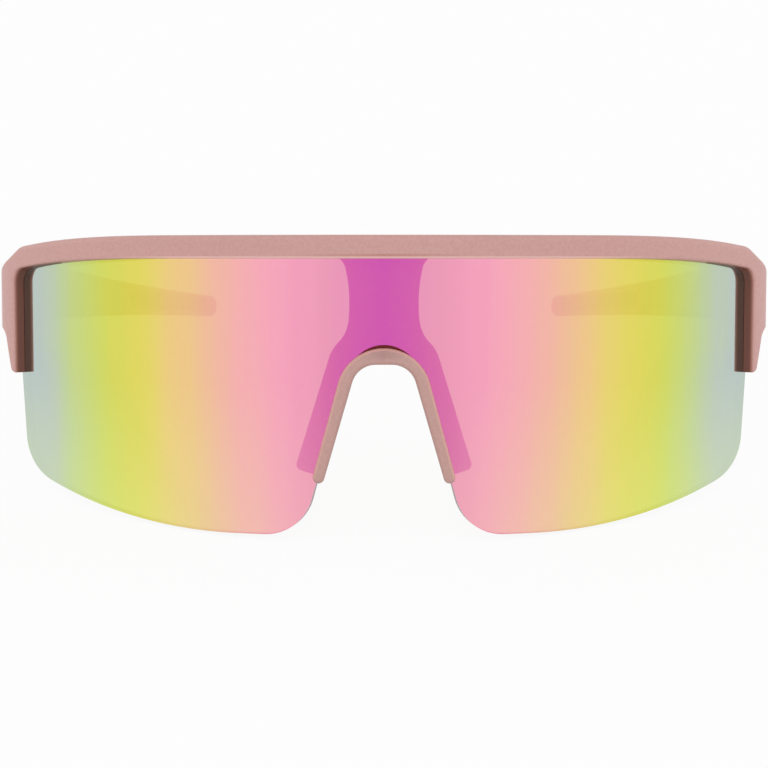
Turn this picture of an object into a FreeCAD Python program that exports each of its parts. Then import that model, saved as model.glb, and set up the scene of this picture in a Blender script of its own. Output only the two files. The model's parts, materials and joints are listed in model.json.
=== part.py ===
"""Shield sunglasses: a half-rim brow frame, one cylindrical mirrored lens, a nose bridge that grips the lens
notch, and two folding temples on screw hinges.

The design frame has X to the wearer's left, Y back along the temples and Z up the lens. Y is zero at the
front of the lens on the centre line and Z is zero at the lowest edge of the lens. At the end every piece is
leaned back together, so that the glasses stand on the lens and the two temple tips. Sizes are millimetres and
degrees.
"""
import FreeCAD, Part
import math
import os
import Sketcher
from FreeCAD import Placement, Rotation, Vector

doc = FreeCAD.newDocument("shield_sunglasses")
sheet = doc.addObject("Spreadsheet::Sheet", "dims")

SIZES = {
    # front, across and up
    "overall_width": 145.2,
    "bar_top": 51.2,
    "bar_height": 4.0,
    "arm_drop": 25.2,
    "corner_radius": 15.0,
    "end_wall": 5.3,
    "front_lip": 2.2,
    "rear_lip": 2.0,
    "groove_clearance": 0.04,
    "window_corner": 2.8,
    "joint_drop": 6.9,
    "brow_droop": 1.25,
    "brow_droop_run": 17.4,
    "shoulder_setback": 11.0,
    "shoulder_lead": 4.2,
    "shoulder_run": 3.2,
    "shoulder_fall": 2.1,
    "shoulder_round": 3.5,
    "shoulder_foot_round": 8.0,
    "arm_taper": 6.4,
    "toe_round": 3.0,
    "arm_neck": 2.05,
    "arm_lean": 11.5,
    "arm_toe": 1.2,
    "frame_round": 0.9,
    "edge_round": 0.4,
    # lens
    "lens_radius": 88.0,
    "lens_thickness": 2.0,
    "lens_bite": 1.8,
    "lens_edge_inset": 5.0,
    "lip_overlap": 1.0,
    "lens_side_above_arm": 0.6,
    "lens_side_lean": 4.1,
    "lens_corner_radius": 8.7,
    "lens_bottom_radius": 100.0,
    "lobe_flat": 4.95,
    "lobe_radius": 8.5,
    "lens_top_bend": 27.6,
    # nose
    "arch_drop": 23.2,
    "notch_radius": 7.25,
    "arch_flat": 1.35,
    "arch_corner": 4.2,
    "arch_corner_rise": 1.1,
    "bead_overlap": 0.85,
    "bead_proud": 0.9,
    "bead_leg_angle": 15.2,
    "bead_inner_angle": 16.2,
    "leg_end_share": 0.418,
    "bead_round": 0.7,
    "wing_reach": 10.83,
    "wing_angle": 17.2,
    "wing_end_share": 0.47,
    "wing_corner": 1.0,
    "wing_shoulder_rise": 6.3,
    "shoulder_middle": 7.86,
    "shoulder_middle_rise": 8.84,
    "strut_foot": 6.05,
    "strut_foot_rise": 12.6,
    "strut_neck": 6.55,
    "strut_neck_drop": 1.6,
    "strut_head": 7.6,
    "key_width": 11.0,
    "key_height": 2.4,
    "flange_reach": 7.6,
    "flange_wall": 1.5,
    "flange_splay": 28.0,
    "pad_chord": 7.6,
    "pad_crown": 1.9,
    "pad_start": 1.2,
    "pad_low_share": 0.42,
    "pad_high_share": 1.08,
    "flange_inset": 1.4,
    # temples
    "temple_length": 125.0,
    "tip_inset": 26.4,
    "tip_thickness": 3.2,
    "joint_height": 9.9,
    "crown_reach": 26.0,
    "crown_rise": 0.65,
    "crown_radius": 200.0,
    "temple_slope": 5.1,
    "tip_height": 5.2,
    "underside_arch": 1.0,
    "tip_round": 2.3,
    "temple_round": 1.2,
    "joint_gap": 0.1,
    "grip_start": 74.0,
    "grip_length": 44.0,
    "grip_depth": 1.0,
    "grip_proud": 0.35,
    "grip_height": 3.4,
    # hinges
    "knuckle_radius": 1.9,
    "knuckle_relief": 0.25,
    "hinge_height": 8.0,
    "middle_knuckle": 2.6,
    "washer_thickness": 0.2,
    "washer_radius": 1.6,
    "running_gap": 0.03,
    "pin_radius": 0.7,
    "pin_clearance": 0.05,
    "pin_head_radius": 1.2,
    "pin_head_height": 0.7,
    "pin_slot": 0.4,
    "plate_thickness": 1.0,
    "front_plate_length": 4.6,
    "temple_plate_length": 7.4,
    "plate_screw_radius": 0.5,
    "plate_screw_length": 2.6,
    "plate_head_radius": 0.95,
    "plate_head_height": 0.35,
    "plate_screw_spacing": 4.4,
}
for row, (alias, number) in enumerate(SIZES.items(), 1):
    sheet.set(f"A{row}", alias)
    sheet.set(f"B{row}", str(number))
    sheet.setAlias(f"B{row}", alias)
doc.recompute()


def value(expression):
    """The number that an expression over the sheet comes to."""
    result = sheet.evalExpression(str(expression).replace("dims.", ""))
    return float(getattr(result, "Value", result))


# Named places, as expressions over the sheet
HALF = "(dims.overall_width / 2)"
GROOVE_FRONT = "(dims.lens_radius + dims.groove_clearance)"
LENS_BACK = "(dims.lens_radius - dims.lens_thickness)"
GROOVE_BACK = f"({LENS_BACK} - dims.groove_clearance)"
FRAME_FRONT = f"({GROOVE_FRONT} + dims.front_lip)"
FRAME_BACK = f"({GROOVE_BACK} - dims.rear_lip)"
BAR_BOTTOM = "(dims.bar_top - dims.bar_height)"
ARM_BOTTOM = "(dims.bar_top - dims.arm_drop)"
LENS_TOP = f"({BAR_BOTTOM} + dims.lens_bite)"
ARCH = f"({BAR_BOTTOM} - dims.arch_drop)"
JOINT_TOP = "(dims.bar_top - dims.joint_drop)"
JOINT_BOTTOM = f"({JOINT_TOP} - dims.joint_height)"
CORNER_SINE = f"(({HALF} - dims.corner_radius) / ({FRAME_FRONT} - dims.corner_radius))"
CORNER_COSINE = f"sqrt(1 - {CORNER_SINE}^2)"
JOINT_Y = f"(dims.lens_radius - ({FRAME_FRONT} - dims.corner_radius) * {CORNER_COSINE})"
JOINT_MID = f"(({JOINT_TOP} + {JOINT_BOTTOM}) / 2)"
INNER_X = f"({HALF} - dims.end_wall)"
SHOULDER_Y = f"({JOINT_Y} - dims.front_plate_length - 0.5)"
SHOULDER_X = f"sqrt({FRAME_BACK}^2 - (dims.lens_radius - {SHOULDER_Y})^2)"
LENS_EDGE = f"({HALF} - dims.lens_edge_inset)"
LENS_ANGLE = f"asin({LENS_EDGE} / dims.lens_radius)"
WINDOW_ANGLE = f"({LENS_ANGLE} - dims.lip_overlap / dims.lens_radius * 1 rad)"
PIVOT_X = f"({INNER_X} - dims.knuckle_radius)"


def draw(sketch, path):
    """Draw one closed outline. Each corner is (x, y, bend) as expressions: a line runs to the next corner, or
    an arc of that radius, bending left for a positive bend and right for a negative one. Every corner and
    radius is constrained to its expression."""
    corners = [(value(x), value(y), 0.0 if bend is None else value(bend)) for x, y, bend in path]
    ends = []
    for index, (x, y, bend) in enumerate(corners):
        start = Vector(x, y, 0)
        end = Vector(*corners[(index + 1) % len(corners)][:2], 0)
        if not bend:
            edge = sketch.addGeometry(Part.LineSegment(start, end))
            ends.append((edge, 1, 2))
            continue
        chord = end - start
        left = Vector(-chord.y, chord.x, 0).normalize()
        reach = math.sqrt(max(bend * bend - chord.Length ** 2 / 4, 0.0))
        centre = (start + end) / 2 + left * math.copysign(reach, bend)
        first, last = (start, end) if bend > 0 else (end, start)
        angle_first = math.atan2(first.y - centre.y, first.x - centre.x)
        angle_last = math.atan2(last.y - centre.y, last.x - centre.x)
        circle = Part.Circle(centre, Vector(0, 0, 1), abs(bend))
        edge = sketch.addGeometry(Part.ArcOfCircle(circle, angle_first, angle_last))
        ends.append((edge, 1, 2) if bend > 0 else (edge, 2, 1))
    for index, (edge, start_point, end_point) in enumerate(ends):
        following, next_start, _ = ends[(index + 1) % len(ends)]
        sketch.addConstraint(Sketcher.Constraint("Coincident", edge, end_point, following, next_start))
        for axis, place in (("X", path[index][0]), ("Y", path[index][1])):
            if abs(value(place)) < 1e-9:
                line = -2 if axis == "X" else -1
                sketch.addConstraint(Sketcher.Constraint("PointOnObject", edge, start_point, line))
                continue
            pin = Sketcher.Constraint("Distance" + axis, -1, 1, edge, start_point, value(place))
            number = sketch.addConstraint(pin)
            sketch.setExpression(f"Constraints[{number}]", str(place))
        if path[index][2] is not None:
            number = sketch.addConstraint(Sketcher.Constraint("Radius", edge, abs(corners[index][2])))
            sketch.setExpression(f"Constraints[{number}]", f"abs({path[index][2]})")
    sketch.Visibility = False


def eased(points):
    """Corners for an open run of lines through (x, y, radius) points, with an arc of that radius at each
    bend."""
    run = []
    for index, (x, y, radius) in enumerate(points):
        if not radius:
            run.append((x, y, None))
            continue
        here = Vector(x, y, 0)
        before = (here - Vector(*points[index - 1][:2], 0)).normalize()
        after = (Vector(*points[index + 1][:2], 0) - here).normalize()
        turn = math.atan2(before.x * after.y - before.y * after.x, before.dot(after))
        tangent = radius * math.tan(abs(turn) / 2)
        first = here - before * tangent
        last = here + after * tangent
        run.append((first.x, first.y, math.copysign(radius, turn)))
        run.append((last.x, last.y, None))
    return run


def mirrored(run, closing=None):
    """A run of corners on the wearer's left, then its mirror image, closed by a line or by one more arc."""
    back = []
    for index in range(len(run) - 1, -1, -1):
        bend = run[index - 1][2] if index else closing
        back.append((f"-({run[index][0]})", run[index][1], bend))
    return list(run) + back


def plane_sketch(body, name, role, offset, *paths):
    """A sketch on one of the body's own origin planes, moved along the plane's normal by an expression."""
    sketch = body.newObject("Sketcher::SketchObject", name)
    plane = next(item for item in body.Origin.OriginFeatures if item.Role == role)
    sketch.AttachmentSupport = [(plane, "")]
    sketch.MapMode = "FlatFace"
    sketch.setExpression("AttachmentOffset.Base.z", str(offset))
    for path in paths:
        draw(sketch, path)
    doc.recompute()
    return sketch


def front_sketch(name, *paths):
    """A sketch that is seen from the front, with its own X across and its own Y up, well ahead of the lens."""
    sketch = doc.addObject("Sketcher::SketchObject", name)
    sketch.Placement = Placement(Vector(0, -10, 0), Rotation(Vector(1, 0, 0), 90))
    for path in paths:
        draw(sketch, path)
    sketch.Visibility = False
    doc.recompute()
    return sketch


def side_sketch(name, *paths):
    """A sketch that is seen from the side, with its own X back along the temples and its own Y up."""
    sketch = doc.addObject("Sketcher::SketchObject", name)
    sketch.Placement = Placement(Vector(), Rotation(Vector(1, 1, 1), 120))
    for path in paths:
        draw(sketch, path)
    doc.recompute()
    return sketch


def level_sketch(name, height, path):
    """A sketch that lies level at a height."""
    sketch = doc.addObject("Sketcher::SketchObject", name)
    sketch.setExpression("Placement.Base.z", str(height))
    draw(sketch, path)
    doc.recompute()
    return sketch


def prism(sketch, depth="2 * dims.lens_radius", way=Vector(0, 1, 0), both_ways=False):
    """The outline of a sketch carried straight along a direction, which is back along Y for a front sketch."""
    solid = doc.addObject("Part::Extrusion", sketch.Name + "_prism")
    solid.Base = sketch
    solid.DirMode = "Custom"
    solid.Dir = way
    solid.Solid = True
    solid.Symmetric = both_ways
    solid.setExpression("LengthFwd", depth)
    doc.recompute()
    return solid


def side_prism(name, *paths):
    """Side outlines carried right across the glasses."""
    return prism(side_sketch(name, *paths), "1.4 * dims.overall_width", Vector(1, 0, 0), True)


def combine(kind, name, base, tool):
    """A Part boolean of two objects: Cut, Common or Fuse."""
    result = doc.addObject("Part::" + kind, name)
    result.Base = base
    result.Tool = tool
    result.Refine = True
    doc.recompute()
    return result


def drum(name, radius):
    """A tall solid cylinder about the upright axis of the lens."""
    solid = doc.addObject("Part::Cylinder", name)
    solid.setExpression("Radius", str(radius))
    solid.setExpression("Height", "2 * dims.bar_top")
    solid.setExpression("Placement.Base.y", "dims.lens_radius")
    solid.setExpression("Placement.Base.z", "-dims.bar_top / 2")
    doc.recompute()
    return solid


def grow(body, kind, name, sketch, length, both_ways=False, reverse=False):
    """A Pad or a Pocket of the sketch, by an expression for its length."""
    feature = body.newObject("PartDesign::" + kind, name)
    feature.Profile = sketch
    feature.setExpression("Length", str(length))
    if both_ways:
        feature.SideType = "Symmetric"
    feature.Reversed = reverse
    sketch.Visibility = False
    doc.recompute()
    return feature


def round_edges(body, name, radius, chosen):
    """Round the edges of the body's last feature that the rule picks."""
    base = body.Tip
    names = [f"Edge{index}" for index, edge in enumerate(base.Shape.Edges, 1) if chosen(edge)]
    feature = body.newObject("PartDesign::Fillet", name)
    feature.Base = (base, names)
    feature.setExpression("Radius", str(radius))
    doc.recompute()
    return feature


def soften(name, base, radius, chosen):
    """Round the edges of a Part object that the rule picks."""
    feature = doc.addObject("Part::Fillet", name)
    feature.Base = base
    size = value(radius)
    feature.Edges = [(index, size, size) for index, edge in enumerate(base.Shape.Edges, 1) if chosen(edge)]
    doc.recompute()
    return feature


def from_axis(point):
    """Distance of a point from the upright axis of the lens cylinder."""
    return math.hypot(point.x, point.y - value("dims.lens_radius"))


def middle(edge):
    """The point half-way along an edge."""
    return edge.valueAt((edge.FirstParameter + edge.LastParameter) / 2)


# Brow frame: one plan outline raised to full height, opened below the brow bar and cut to its side profile
corner_x = f"({FRAME_FRONT} * {CORNER_SINE})"
corner_y = f"(dims.lens_radius - {FRAME_FRONT} * {CORNER_COSINE})"
frame_plan = level_sketch("frame_plan", ARM_BOTTOM, [
    (f"-{HALF}", JOINT_Y, "dims.corner_radius"),
    (f"-{corner_x}", corner_y, FRAME_FRONT),
    (corner_x, corner_y, "dims.corner_radius"),
    (HALF, JOINT_Y, None),
    (INNER_X, JOINT_Y, None),
    (INNER_X, SHOULDER_Y, None),
    (SHOULDER_X, SHOULDER_Y, f"-{FRAME_BACK}"),
    (f"-{SHOULDER_X}", SHOULDER_Y, None),
    (f"-{INNER_X}", SHOULDER_Y, None),
    (f"-{INNER_X}", JOINT_Y, None),
])
frame_blank = prism(frame_plan, "dims.arm_drop", Vector(0, 0, 1))

# The window spreads from the axis of the lens, and its upper edge droops with the brow
AHEAD = "(4 * dims.front_lip)"
window_edge = f"((dims.lens_radius + {AHEAD}) * tan({WINDOW_ANGLE}))"
window_plan = level_sketch("window_plan", f"{ARM_BOTTOM} - 5", [
    ("0", "dims.lens_radius", None),
    (f"-{window_edge}", f"-{AHEAD}", None),
    (window_edge, f"-{AHEAD}", None),
])
shoulder_y = f"({JOINT_Y} - dims.shoulder_setback)"
droop_y = f"({shoulder_y} - dims.shoulder_lead - dims.brow_droop_run)"
DROOP_RADIUS = "((dims.brow_droop_run^2 + dims.brow_droop^2) / (2 * dims.brow_droop))"
ceiling_run = f"({JOINT_Y} - {droop_y})"
ceiling_droop = f"({DROOP_RADIUS} - sqrt({DROOP_RADIUS}^2 - {ceiling_run}^2))"
behind = f"({JOINT_Y} + 5)"
below_bar = side_prism("window_side", [
    (f"-2 * {AHEAD}", f"{ARM_BOTTOM} - 10", None),
    (JOINT_Y, f"{ARM_BOTTOM} - 10", None),
    (JOINT_Y, f"{BAR_BOTTOM} - {ceiling_droop}", DROOP_RADIUS),
    (droop_y, BAR_BOTTOM, None),
    (f"-2 * {AHEAD}", BAR_BOTTOM, None),
])
window = combine("Common", "window", prism(window_plan, "dims.arm_drop + 5", Vector(0, 0, 1)), below_bar)

toe_y = f"({JOINT_Y} - dims.arm_taper)"
taper_rise = f"({JOINT_BOTTOM} - {ARM_BOTTOM})"
taper_length = f"sqrt(dims.arm_taper^2 + {taper_rise}^2)"
toe_tangent = f"(dims.toe_round / tan((180 deg - acos(dims.arm_taper / {taper_length})) / 2))"
droop_slope = "tan(2 * atan(dims.brow_droop / dims.brow_droop_run))"
lead_y = f"({shoulder_y} - dims.shoulder_lead)"
lead_top = "(dims.bar_top - dims.brow_droop)"
shoulder_top = f"({lead_top} - dims.shoulder_lead * {droop_slope})"
shoulder_foot = f"({shoulder_top} - dims.shoulder_fall)"
brow_run = [(value(y), value(z), value(bend)) for y, z, bend in (
    (lead_y, lead_top, 0),
    (shoulder_y, shoulder_top, "dims.shoulder_round"),
    (f"{shoulder_y} + dims.shoulder_run", shoulder_foot, "dims.shoulder_foot_round"),
    (JOINT_Y, JOINT_TOP, 0),
)]
end_profile = side_prism("frame_side", [
    (droop_y, "dims.bar_top", f"-{DROOP_RADIUS}"),
    *eased(brow_run),
    (behind, JOINT_TOP, None),
    (behind, "dims.bar_top + 5", None),
    (droop_y, "dims.bar_top + 5", None),
], [
    (behind, JOINT_BOTTOM, None),
    (JOINT_Y, JOINT_BOTTOM, None),
    (f"{toe_y} + {toe_tangent} * dims.arm_taper / {taper_length}",
     f"{ARM_BOTTOM} + {toe_tangent} * {taper_rise} / {taper_length}", "-dims.toe_round"),
    (f"{toe_y} - {toe_tangent}", ARM_BOTTOM, None),
    (f"{toe_y} - {toe_tangent}", f"{ARM_BOTTOM} - 5", None),
    (behind, f"{ARM_BOTTOM} - 5", None),
])
opened_frame = combine("Cut", "opened_frame", frame_blank, window)
shaped_frame = combine("Cut", "shaped_frame", opened_frame, end_profile)


def on_window_corner(edge):
    """The edges where the drop arms meet the underside of the brow bar."""
    points = [middle(edge), *(vertex.Point for vertex in edge.Vertexes)]
    turned = [math.atan2(abs(point.x), value("dims.lens_radius") - point.y) for point in points]
    on_side = all(abs(turn - value(WINDOW_ANGLE) * math.pi / 180) < 1e-5 for turn in turned)
    return on_side and min(point.z for point in points) > value(JOINT_BOTTOM)


cornered_frame = soften("window_corners", shaped_frame, "dims.window_corner", on_window_corner)


def on_front_rim(edge):
    """Edges of the outer face of the front: along the brow, down the end pieces and round the arms."""
    point = middle(edge)
    ahead = point.y < value(JOINT_Y) - 0.05
    band = abs(from_axis(point) - value(FRAME_FRONT)) < 0.02
    off_corner = math.hypot(abs(point.x) - value(f"{HALF} - dims.corner_radius"), point.y - value(JOINT_Y))
    corner = abs(point.x) > value(corner_x) and abs(off_corner - value("dims.corner_radius")) < 0.02
    upright = len(edge.Vertexes) == 2 and abs(edge.Vertexes[0].Z - edge.Vertexes[1].Z) > 8
    seam = upright and abs(abs(point.x) - value(corner_x)) < 0.05
    return ahead and (band or corner) and not seam


def brow_height(y):
    """Height of the top of the brow at a distance back: level, drooping, then falling over the shoulder."""
    for (near, high, _), (far, low, _) in zip(brow_run, brow_run[1:]):
        if near <= y <= far + 1e-6:
            return high + (low - high) * (y - near) / (far - near)
    past = max(y - value(droop_y), 0.0)
    radius = value(DROOP_RADIUS)
    return value("dims.bar_top") - radius + math.sqrt(radius ** 2 - past ** 2)


def on_crest(edge):
    """The part of the front rim along the top of the brow."""
    return on_front_rim(edge) and abs(middle(edge).z - brow_height(middle(edge).y)) < 0.15


def on_lip(edge):
    """The rest of the front rim: under the brow bar, down the arms and round their toes."""
    return on_front_rim(edge) and not on_crest(edge) and middle(edge).z < brow_height(middle(edge).y) - 1.5


crested_frame = soften("crest_round", cornered_frame, "dims.frame_round", on_crest)
rounded_frame = soften("lip_round", crested_frame, "dims.edge_round", on_lip)

# The arms are narrower than the end pieces: a hollow shoulder under each end piece, a side that leans in and a
# round outer toe
outside = f"({HALF} + 5)"
neck_start = f"({HALF} + 0.4)"
neck_in = "(dims.arm_neck + 0.4)"
neck_drop = f"({neck_in} * tan(45 deg - dims.arm_lean * 0.5 deg))"
neck_bottom = f"({JOINT_BOTTOM} - {neck_drop})"
ARM_LEAN = "(dims.arm_lean * 1 deg)"
arm_foot = f"({HALF} - dims.arm_neck - ({neck_bottom} - {ARM_BOTTOM}) * tan({ARM_LEAN}))"
arm_tangent = f"(dims.arm_toe / tan(45 deg + {ARM_LEAN} / 2))"
arm_side = [
    (outside, JOINT_BOTTOM, None),
    (neck_start, JOINT_BOTTOM, f"(({neck_in}^2 + {neck_drop}^2) / (2 * {neck_drop}))"),
    (f"{HALF} - dims.arm_neck", neck_bottom, None),
    (f"{arm_foot} + {arm_tangent} * sin({ARM_LEAN})", f"{ARM_BOTTOM} + {arm_tangent} * cos({ARM_LEAN})",
     "-dims.arm_toe"),
    (f"{arm_foot} - {arm_tangent}", ARM_BOTTOM, None),
    (f"{arm_foot} - {arm_tangent}", f"{ARM_BOTTOM} - 5", None),
    (outside, f"{ARM_BOTTOM} - 5", None),
]
arm_sides = prism(front_sketch("arm_sides", arm_side, mirrored(arm_side)[len(arm_side):]))
frame = combine("Cut", "narrowed_frame", rounded_frame, arm_sides)


# Lens: the front outline laid on the cylinder, then thickened square to the curve to keep its edge square
def lens_outline(spare):
    """The outline of the lens seen from the front, grown all round by a clearance."""
    lean = math.radians(value("dims.bead_leg_angle"))
    outward = Vector(math.cos(lean), math.sin(lean), 0)
    notch_centre = Vector(0, value(ARCH), 0)
    lobe = value("dims.lobe_radius")
    leg_reach = value("dims.notch_radius") + lobe
    lobe_x = (leg_reach - (lobe - notch_centre.y) * outward.y) / outward.x
    lobe_centre = Vector(lobe_x, lobe, 0)
    leg_top = notch_centre + outward * (value("dims.notch_radius") - spare)
    leg_foot = lobe_centre - outward * (lobe + spare)
    bottom_centre = Vector(lobe_x + value("dims.lobe_flat"), value("dims.lens_bottom_radius"), 0)
    side_lean = math.radians(value("dims.lens_side_lean"))
    side = Vector(value(LENS_EDGE), value(f"{ARM_BOTTOM} + dims.lens_side_above_arm"), 0)
    side_out = Vector(math.cos(side_lean), -math.sin(side_lean), 0)
    side_down = Vector(-math.sin(side_lean), -math.cos(side_lean), 0)
    corner = value("dims.lens_corner_radius")
    offset = side - side_out * corner - bottom_centre
    reach = bottom_centre.y - corner
    along = offset.dot(side_down)
    run = -along + math.sqrt(along ** 2 - offset.dot(offset) + reach ** 2)
    corner_centre = bottom_centre + offset + side_down * run
    from_bottom = (corner_centre - bottom_centre).normalize()
    bottom_end = bottom_centre + from_bottom * (bottom_centre.y + spare)
    corner_end = corner_centre + side_out * (corner + spare)
    edge = value(LENS_EDGE) + spare
    top = value(LENS_TOP) + spare
    bend = value("dims.lens_top_bend")
    edge_y = value("dims.lens_radius") - math.sqrt(value("dims.lens_radius") ** 2 - value(LENS_EDGE) ** 2)
    droop = value("dims.bar_top") - brow_height(edge_y)
    return mirrored([
        (leg_top.x, leg_top.y, None),
        (leg_foot.x, leg_foot.y, lobe + spare),
        (lobe_x, -spare, None),
        (bottom_centre.x, -spare, bottom_centre.y + spare),
        (bottom_end.x, bottom_end.y, corner + spare),
        (corner_end.x, corner_end.y, None),
        (edge, side.y, None),
        (edge, top - droop, (bend ** 2 + droop ** 2) / (2 * droop)),
        (edge - bend, top, None),
    ], closing=-(value("dims.notch_radius") - spare))


def curved_sheet(name, spare, front_radius, thickness):
    """A sheet bent to the lens cylinder, with the lens's outline and an edge that is square to the curve."""
    outline = prism(front_sketch(name + "_outline", lens_outline(spare)))
    arc = doc.addObject("Part::Circle", name + "_arc")
    arc.Angle1 = 200
    arc.Angle2 = 340
    arc.setExpression("Radius", front_radius)
    arc.setExpression("Placement.Base.y", "dims.lens_radius")
    arc.setExpression("Placement.Base.z", "-dims.bar_top / 2")
    skin = doc.addObject("Part::Extrusion", name + "_skin")
    skin.Base = arc
    skin.DirMode = "Custom"
    skin.Dir = Vector(0, 0, 1)
    skin.setExpression("LengthFwd", "2 * dims.bar_top")
    face = combine("Common", name + "_face", skin, outline)
    sheet_solid = doc.addObject("Part::Offset", name)
    sheet_solid.Source = face
    sheet_solid.Fill = True
    sheet_solid.setExpression("Value", thickness)
    doc.recompute()
    return sheet_solid


lens = curved_sheet("lens_sheet", 0.0, "dims.lens_radius", "dims.lens_thickness")
groove = curved_sheet("lens_groove", value("dims.groove_clearance"), GROOVE_FRONT,
                      "dims.lens_thickness + 2 * dims.groove_clearance")

# Nose bridge: a strut and two wings behind the lens, and an arched bead that grips the edge of the lens notch
def leg_x(reach, angle, height):
    """Across position, at a height, of a straight leg that touches a circle about the arch centre."""
    return f"({reach} / cos({angle}) + ({ARCH} - {height}) * tan({angle}))"


def touch(reach, angle):
    """The point where such a leg leaves its circle."""
    return f"{reach} * cos({angle})", f"{ARCH} + {reach} * sin({angle})"


def flowing(start, heading, points):
    """Corners for a run of arcs through the points, each one leaving as the last arrived."""
    run = []
    here = Vector(*start, 0)
    for point in points:
        chord = Vector(*point, 0) - here
        turn = math.atan2(chord.y, chord.x) - heading
        run.append((here.x, here.y, chord.Length / (2 * math.sin(turn))))
        heading += 2 * turn
        here = Vector(*point, 0)
    return run


INNER_ANGLE = "dims.bead_inner_angle"
ARCH_CORNER_Z = f"({ARCH} + dims.arch_corner_rise)"
INNER_REACH = (f"(dims.arch_corner + dims.arch_flat * cos({INNER_ANGLE})"
               f" + dims.arch_corner_rise * sin({INNER_ANGLE}))")
LEG_END = f"({ARCH} * dims.leg_end_share)"
WING_END = f"({ARCH} * dims.wing_end_share)"
WING_SHOULDER = f"({ARCH} + dims.wing_shoulder_rise)"
OUTER_REACH = "(dims.notch_radius + dims.bead_overlap)"
OUTER_ANGLE = "dims.bead_leg_angle"
arch_corner = [
    ("dims.arch_flat", f"{ARCH_CORNER_Z} + dims.arch_corner", "-dims.arch_corner"),
    (f"dims.arch_flat + dims.arch_corner * cos({INNER_ANGLE})",
     f"{ARCH_CORNER_Z} + dims.arch_corner * sin({INNER_ANGLE})", None),
]

# Each leg of the bead ends in a round foot that runs smoothly out of both its sides
inner_lean = math.radians(value(INNER_ANGLE))
outer_lean = math.radians(value(OUTER_ANGLE))
leg_inner = value(leg_x(INNER_REACH, INNER_ANGLE, LEG_END))
leg_outer = value(leg_x(OUTER_REACH, OUTER_ANGLE, LEG_END))
foot_radius = (leg_outer - leg_inner) / (1 / math.cos(inner_lean) + 1 / math.cos(outer_lean))
foot_centre = Vector(leg_inner + foot_radius / math.cos(inner_lean), value(LEG_END), 0)
foot_first = foot_centre - Vector(math.cos(inner_lean), math.sin(inner_lean), 0) * foot_radius
foot_last = foot_centre + Vector(math.cos(outer_lean), math.sin(outer_lean), 0) * foot_radius
bead_outline = front_sketch("bead_outline", mirrored([
    *arch_corner,
    (foot_first.x, foot_first.y, foot_radius),
    (foot_last.x, foot_last.y, None),
    (*touch(OUTER_REACH, OUTER_ANGLE), OUTER_REACH),
], closing=None))

wing_lean = math.radians(value("dims.wing_angle"))
wing_along = Vector(-math.sin(wing_lean), math.cos(wing_lean), 0)
wing_across = Vector(-math.cos(wing_lean), -math.sin(wing_lean), 0)
wing_tip = Vector(value(leg_x("dims.wing_reach", "dims.wing_angle", WING_END)), value(WING_END), 0)
leg_slope = math.tan(math.radians(value(INNER_ANGLE)))
wing_width = (wing_tip.x - value(leg_x(INNER_REACH, INNER_ANGLE, WING_END))) / (
    math.cos(wing_lean) + leg_slope * math.sin(wing_lean))
wing_inner = wing_tip + wing_across * wing_width
tip_below = wing_tip + wing_across * value("dims.wing_corner")
tip_above = wing_tip + wing_along * value("dims.wing_corner")
shoulder = (value(leg_x("dims.wing_reach", "dims.wing_angle", WING_SHOULDER)), value(WING_SHOULDER))
bar_under = value(BAR_BOTTOM)
strut_side = flowing(shoulder, math.pi / 2 + wing_lean, [
    (value("dims.shoulder_middle"), value(f"{ARCH} + dims.shoulder_middle_rise")),
    (value("dims.strut_foot"), value(f"{ARCH} + dims.strut_foot_rise")),
    (value("dims.strut_neck"), bar_under - value("dims.strut_neck_drop")),
    (value("dims.strut_head"), bar_under),
])
strut_outline = front_sketch("strut_outline", mirrored([
    *arch_corner,
    (wing_inner.x, wing_inner.y, None),
    (tip_below.x, tip_below.y, "dims.wing_corner"),
    (tip_above.x, tip_above.y, None),
    *strut_side,
    ("dims.strut_head", BAR_BOTTOM, None),
    ("dims.key_width / 2", BAR_BOTTOM, None),
    ("dims.key_width / 2", f"{BAR_BOTTOM} + dims.key_height", None),
], closing=None))

hollow = drum("bridge_hollow", FRAME_BACK)
bead_drum = drum("bead_drum", f"{GROOVE_FRONT} + dims.bead_proud")
strut_drum = drum("strut_drum", GROOVE_BACK)
bead_ring = combine("Cut", "bead_ring", bead_drum, hollow)
bead_blank = combine("Common", "bead_blank", prism(bead_outline), bead_ring)
bead = soften("bead", bead_blank, f"min(dims.bead_round; {0.7 * foot_radius})",
              lambda edge: abs(from_axis(middle(edge)) - value(f"{GROOVE_FRONT} + dims.bead_proud")) < 0.02)
strut = combine("Common", "strut", prism(strut_outline), combine("Cut", "strut_ring", strut_drum, hollow))


def loft(name, sections, ruled):
    """A solid through level sections."""
    solid = doc.addObject("Part::Loft", name)
    solid.Sections = sections
    solid.Solid = True
    solid.Ruled = ruled
    doc.recompute()
    return solid


FLANGE_ROOT = "(dims.lens_thickness + 0.7 * dims.rear_lip)"
SPLAY_X = "sin(dims.flange_splay)"
SPLAY_Y = "cos(dims.flange_splay)"


def flange_point(height, along, wall=0):
    """A point of the pad flange at a height: so far back along its splay, on its inner or its outer side."""
    root = f"({leg_x(INNER_REACH, INNER_ANGLE, height)} + 0.15 + {wall} * dims.flange_wall)"
    return f"{root} + {along} * {SPLAY_X}", f"{FLANGE_ROOT} + {along} * {SPLAY_Y}"


def flange_section(name, height):
    """The flange cut level: a splayed bar."""
    return level_sketch(name, height, [
        (*flange_point(height, "0", 1), None),
        (*flange_point(height, "dims.flange_reach", 1), None),
        (*flange_point(height, "dims.flange_reach"), None),
        (*flange_point(height, "0"), None),
    ])


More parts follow.
